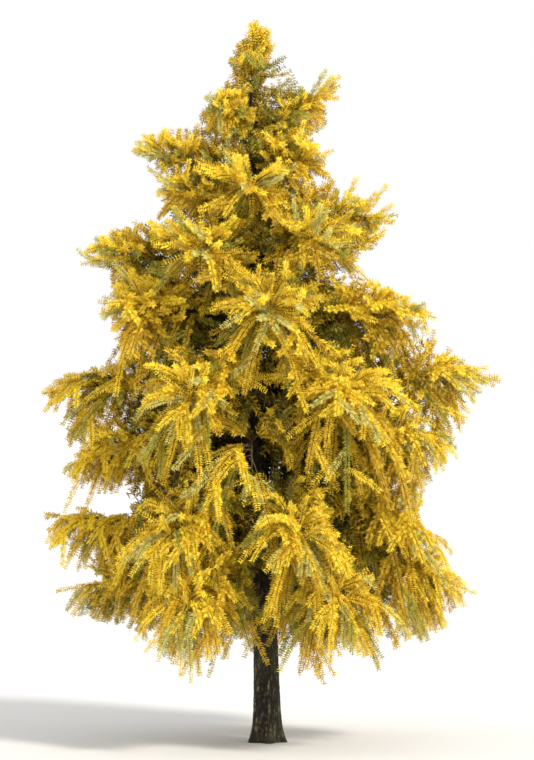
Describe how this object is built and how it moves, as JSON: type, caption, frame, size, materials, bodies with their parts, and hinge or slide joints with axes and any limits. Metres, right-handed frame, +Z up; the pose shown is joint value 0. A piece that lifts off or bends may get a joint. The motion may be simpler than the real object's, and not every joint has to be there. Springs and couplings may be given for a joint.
{
  "type": "golden larch tree in autumn",
  "caption": "Tall open-grown deciduous conifer in golden autumn needles, with tiers of arching boughs and hanging sprays round one straight trunk.",
  "frame": {"origin": "centre of the flat cut under the trunk, at ground level", "axes": "+Z up along the trunk; -Y is the side that faces the viewer in the picture, and +X is to the viewer's right"},
  "size_m": [7.6544, 6.1889, 12],
  "materials": {
    "bark": "rough fissured bark",
    "bough_bark": "rough bark of boughs and twigs",
    "needles": "soft matt needles in autumn gold"
  },
  "bodies": {
    "root": {"trunk": "bark", "skirt_right_bough": "bough_bark", "skirt_right_sprays": "needles", "skirt_front_right_bough": "bough_bark", "skirt_front_right_sprays": "needles", "skirt_front_left_bough": "bough_bark", "skirt_front_left_sprays": "needles", "skirt_left_bough": "bough_bark", "skirt_left_sprays": "needles", "skirt_back_bough": "bough_bark", "skirt_back_sprays": "needles", "lower_right_bough": "bough_bark", "lower_right_sprays": "needles", "lower_front_bough": "bough_bark", "lower_front_sprays": "needles", "lower_front_left_bough": "bough_bark", "lower_front_left_sprays": "needles", "lower_left_bough": "bough_bark", "lower_left_sprays": "needles", "lower_back_left_bough": "bough_bark", "lower_back_left_sprays": "needles", "lower_back_right_bough": "bough_bark", "lower_back_right_sprays": "needles", "hanging_right_bough": "bough_bark", "hanging_right_sprays": "needles", "hanging_front_bough": "bough_bark", "hanging_front_sprays": "needles", "hanging_left_bough": "bough_bark", "hanging_left_sprays": "needles", "hanging_back_left_bough": "bough_bark", "hanging_back_left_sprays": "needles", "hanging_back_right_bough": "bough_bark", "hanging_back_right_sprays": "needles", "middle_right_sprays": "needles", "middle_front_right_sprays": "needles", "middle_front_left_sprays": "needles", "middle_left_sprays": "needles", "middle_back_left_sprays": "needles", "middle_back_right_sprays": "needles", "upper_right_sprays": "needles", "upper_front_sprays": "needles", "upper_left_sprays": "needles", "upper_back_left_sprays": "needles", "upper_back_right_sprays": "needles", "high_right_sprays": "needles", "high_front_right_sprays": "needles", "high_front_left_sprays": "needles", "high_left_sprays": "needles", "high_back_sprays": "needles", "crown_right_sprays": "needles", "crown_front_sprays": "needles", "crown_left_sprays": "needles", "crown_back_sprays": "needles", "top_right_sprays": "needles", "top_left_sprays": "needles", "top_back_sprays": "needles", "spire_right_sprays": "needles", "spire_left_sprays": "needles", "spire_back_sprays": "needles", "leader_top_sprays": "needles"}
  },
  "joints": []
}
